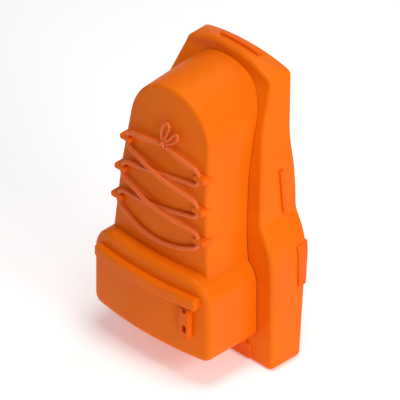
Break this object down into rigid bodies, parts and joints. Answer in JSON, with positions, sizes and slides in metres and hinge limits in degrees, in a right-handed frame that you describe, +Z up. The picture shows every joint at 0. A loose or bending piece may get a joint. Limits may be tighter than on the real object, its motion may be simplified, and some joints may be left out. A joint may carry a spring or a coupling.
{
  "type": "hiking backpack",
  "caption": "Moulded hiking backpack with a laced, bottom-hinged front cover, zipped pocket under a storm flap, pull-out grab handles, back pads, shoulder straps and hip belt.",
  "frame": {"origin": "middle of the foot the pack stands on, centred on its overall width and depth", "axes": "+Z up along the pack's height, +Y from the front cover towards the wearer's back, X across"},
  "size_m": [0.356, 0.288, 0.5578],
  "materials": {
    "shell": "satin moulded shell with a fine grain",
    "trim": "fine-grained injection-moulded trim",
    "cord": "braided cord",
    "webbing": "flat woven webbing",
    "pad": "spacer mesh over foam",
    "lining": "plain inner sheet",
    "seal": "matt lip seal",
    "zip": "moulded coil zip",
    "steel": "brushed pin",
    "aluminium": "brushed flat stay"
  },
  "bodies": {
    "pack": {"rear_shell": "shell", "closure_seal": "seal", "frame_sheet": "lining", "stay_right": "aluminium", "stay_left": "aluminium", "top_handle_sockets": "trim", "side_handle_left_sockets": "trim", "side_handle_right_sockets": "trim", "hinge_leaf_fixed": "trim", "hinge_pin": "steel", "back_pad_right": "pad", "back_pad_left": "pad", "lumbar_pad": "pad", "strap_yoke": "trim", "yoke_rivets": "steel", "belt_band": "trim", "strap_pin_right": "steel", "strap_pin_left": "steel", "belt_pin_right": "steel", "belt_pin_left": "steel", "lower_anchor_right": "trim", "lower_anchor_left": "trim"},
    "front_cover": {"front_shell": "shell", "pocket_liner": "lining", "zip_tape": "zip", "zip_teeth": "zip", "cord_anchors": "trim", "lacing_cord": "cord", "lacing_knot": "cord", "lacing_loop_left": "cord", "lacing_loop_right": "cord", "hinge_leaf_moving": "trim"},
    "flap": {"storm_flap": "shell"},
    "slider": {"zip_slider": "zip"},
    "pull": {"zip_pull": "trim", "zip_pull_pin": "steel"},
    "top_grab": {"top_handle": "trim"},
    "side_grab_left": {"side_handle_left": "trim"},
    "side_grab_right": {"side_handle_right": "trim"},
    "strap_right": {"shoulder_strap_right": "pad", "strap_webbing_right": "webbing", "ladder_lock_right": "trim", "sternum_rail_right": "trim"},
    "strap_left": {"shoulder_strap_left": "pad", "strap_webbing_left": "webbing", "ladder_lock_left": "trim", "sternum_rail_left": "trim"},
    "sternum_right": {"sternum_slider_right": "trim", "sternum_webbing_right": "webbing", "sternum_clip_right": "trim"},
    "sternum_left": {"sternum_slider_left": "trim", "sternum_webbing_left": "webbing", "sternum_clip_left": "trim"},
    "wing_right": {"hip_wing_right": "pad", "hip_buckle_right": "trim"},
    "wing_left": {"hip_wing_left": "pad", "hip_buckle_left": "trim"}
  },
  "joints": [
    {"name": "cover_hinge", "type": "hinge", "parent": "pack", "child": "front_cover", "pos_m": [0, -0.008, 0.045], "axis": [1, 0, 0], "range_deg": [0, 80]},
    {"name": "flap_hinge", "type": "hinge", "parent": "front_cover", "child": "flap", "pos_m": [0, -0.1297, 0.187], "axis": [-1, 0, 0], "range_deg": [0, 60]},
    {"name": "zip_travel", "type": "hinge", "parent": "front_cover", "child": "slider", "pos_m": [0, 0.559, 0.175], "axis": [0, 0, -1], "range_deg": [0, 16]},
    {"name": "pull_swing", "type": "hinge", "parent": "slider", "child": "pull", "pos_m": [0.0968, -0.12973, 0.1575], "axis": [-0.9903, -0.1392, 0], "range_deg": [0, 80]},
    {"name": "top_grab_pull", "type": "slide", "parent": "pack", "child": "top_grab", "axis": [0, 0.3872, 0.922], "range_m": [0, 0.016]},
    {"name": "side_grab_left_pull", "type": "slide", "parent": "pack", "child": "side_grab_left", "axis": [-0.995, 0, 0.0995], "range_m": [0, 0.022]},
    {"name": "side_grab_right_pull", "type": "slide", "parent": "pack", "child": "side_grab_right", "axis": [0.995, 0, 0.0995], "range_m": [0, 0.022]},
    {"name": "strap_right_swing", "type": "hinge", "parent": "pack", "child": "strap_right", "pos_m": [0.053, 0.128, 0.508], "axis": [1, 0, 0], "range_deg": [0, 60]},
    {"name": "strap_left_swing", "type": "hinge", "parent": "pack", "child": "strap_left", "pos_m": [-0.053, 0.128, 0.508], "axis": [1, 0, 0], "range_deg": [0, 60]},
    {"name": "sternum_right_slide", "type": "slide", "parent": "strap_right", "child": "sternum_right", "axis": [0, 0, 1], "range_m": [-0.025, 0.025]},
    {"name": "sternum_left_slide", "type": "slide", "parent": "strap_left", "child": "sternum_left", "axis": [0, 0, 1], "range_m": [-0.025, 0.025]},
    {"name": "wing_right_swing", "type": "hinge", "parent": "pack", "child": "wing_right", "pos_m": [0.136, 0.102, 0.19], "axis": [0, 0, -1], "range_deg": [0, 100]},
    {"name": "wing_left_swing", "type": "hinge", "parent": "pack", "child": "wing_left", "pos_m": [-0.136, 0.102, 0.19], "axis": [0, 0, 1], "range_deg": [0, 100]}
  ]
}
